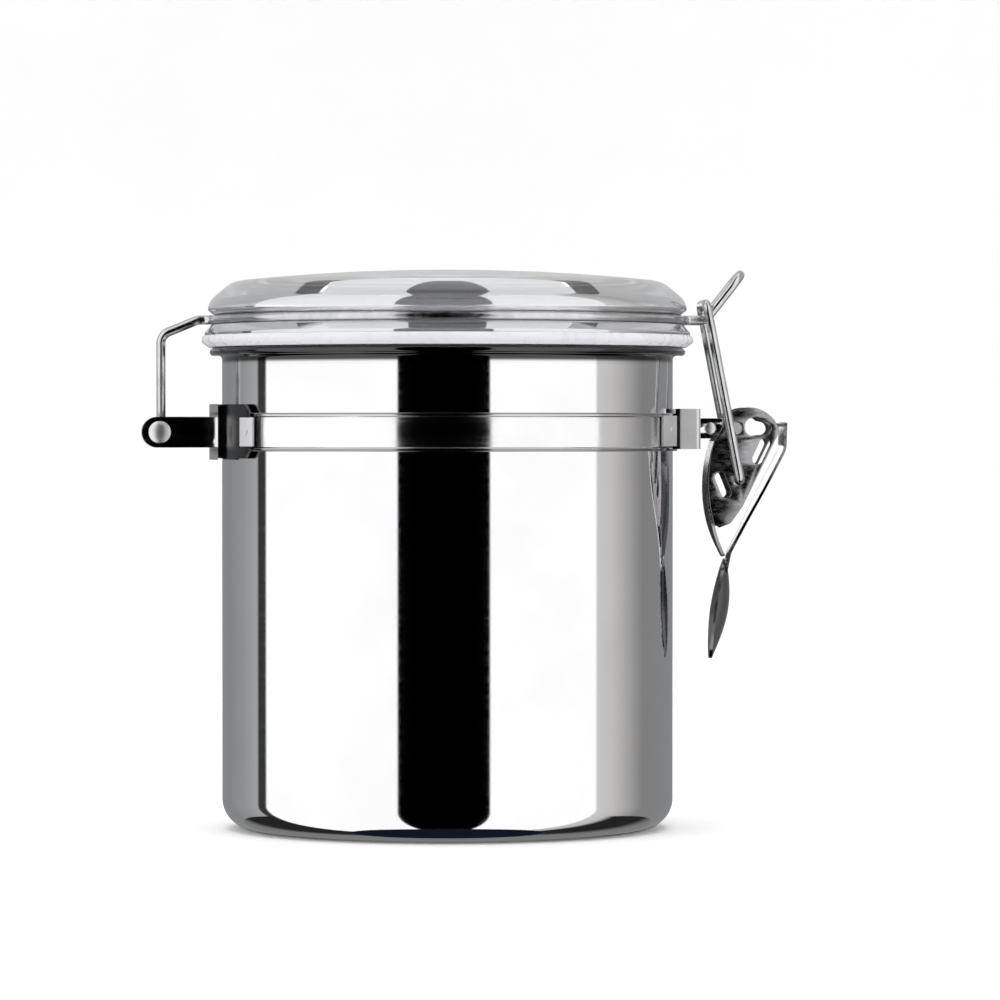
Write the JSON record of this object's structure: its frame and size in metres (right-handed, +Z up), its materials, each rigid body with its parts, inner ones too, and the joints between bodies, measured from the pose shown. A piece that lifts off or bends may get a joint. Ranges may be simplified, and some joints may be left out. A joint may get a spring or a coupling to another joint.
{
  "type": "clamp-lid food canister",
  "caption": "Round polished-steel food canister with a hinged clear lid, a sealing ring, a clamping band and an over-centre wire-bail latch.",
  "frame": {"origin": "centre of the flat base of the can", "axes": "+Z up, +X towards the latch, -X towards the hinge"},
  "size_m": [0.1719, 0.1312, 0.1485],
  "materials": {
    "can_steel": "polished",
    "band_steel": "polished",
    "plate_steel": "polished",
    "rivet_steel": "polished",
    "latch_steel": "polished",
    "wire_steel": "polished",
    "clear_acrylic": "clear gloss",
    "silicone": "translucent satin"
  },
  "bodies": {
    "canister": {"canister_body": "can_steel", "band_half_near": "band_steel", "band_half_far": "band_steel", "rear_saddle": "plate_steel", "rear_collar": "band_steel", "rear_end_pads": "band_steel", "front_saddle": "plate_steel", "front_clip": "band_steel", "front_end_pads": "band_steel", "hinge_rivet": "rivet_steel", "front_tab_rivet": "rivet_steel", "lever_pivot_pin": "rivet_steel"},
    "lid": {"lid": "clear_acrylic", "lid_gasket": "silicone", "lid_ring_wire": "wire_steel"},
    "lever": {"latch_bracket": "latch_steel", "latch_handle": "latch_steel"},
    "bail": {"bail_wire": "wire_steel"}
  },
  "joints": [
    {"name": "lid_hinge", "type": "hinge", "parent": "canister", "child": "lid", "pos_m": [-0.0765, 0, 0.1053], "axis": [0, -1, 0], "range_deg": [0, 105]},
    {"name": "lever_pivot", "type": "hinge", "parent": "canister", "child": "lever", "pos_m": [0.0764, 0, 0.1063], "axis": [0, -1, 0], "range_deg": [0, 100]},
    {"name": "bail_pivot", "type": "hinge", "parent": "lever", "child": "bail", "pos_m": [0.0774, 0, 0.0926], "axis": [0, -1, 0], "range_deg": [-75, 0]}
  ],
  "couplings": [
    {"joint": "bail_pivot", "follows": "lever_pivot", "ratio": -0.75}
  ]
}
